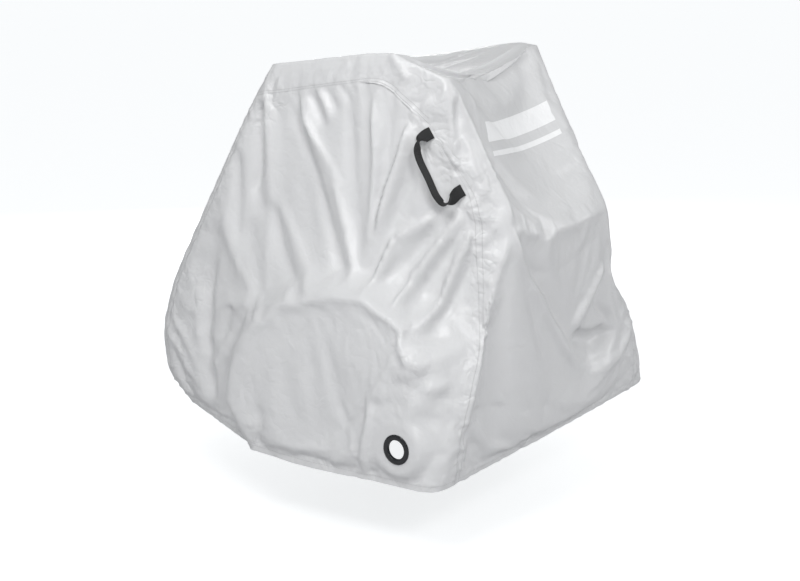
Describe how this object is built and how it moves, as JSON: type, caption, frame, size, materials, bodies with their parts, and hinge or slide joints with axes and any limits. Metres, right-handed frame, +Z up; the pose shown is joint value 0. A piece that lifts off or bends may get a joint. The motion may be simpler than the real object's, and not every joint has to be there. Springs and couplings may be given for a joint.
{
  "type": "fitted storage cover",
  "caption": "Fitted cloth cover shown draped as over a folded bicycle carrier, open at its foot, with a webbing handle and a plastic eyelet near its hem.",
  "frame": {"origin": "on the underside of the roof, midway between the sides and just behind the middle of the roof, where what is covered carries the cloth", "axes": "+X towards the rear, +Y towards the far side, away from the handle, +Z up"},
  "size_m": [0.929, 0.8869, 0.8588],
  "materials": {
    "coated_cloth": "satin, silver-grey coated polyester",
    "webbing": "woven black webbing",
    "eyelet": "glossy black"
  },
  "bodies": {
    "root": {"centre_panel": "coated_cloth", "near_side_panel": "coated_cloth", "far_side_panel": "coated_cloth", "webbing_handle": "webbing", "eyelet_ring": "eyelet"}
  },
  "joints": []
}
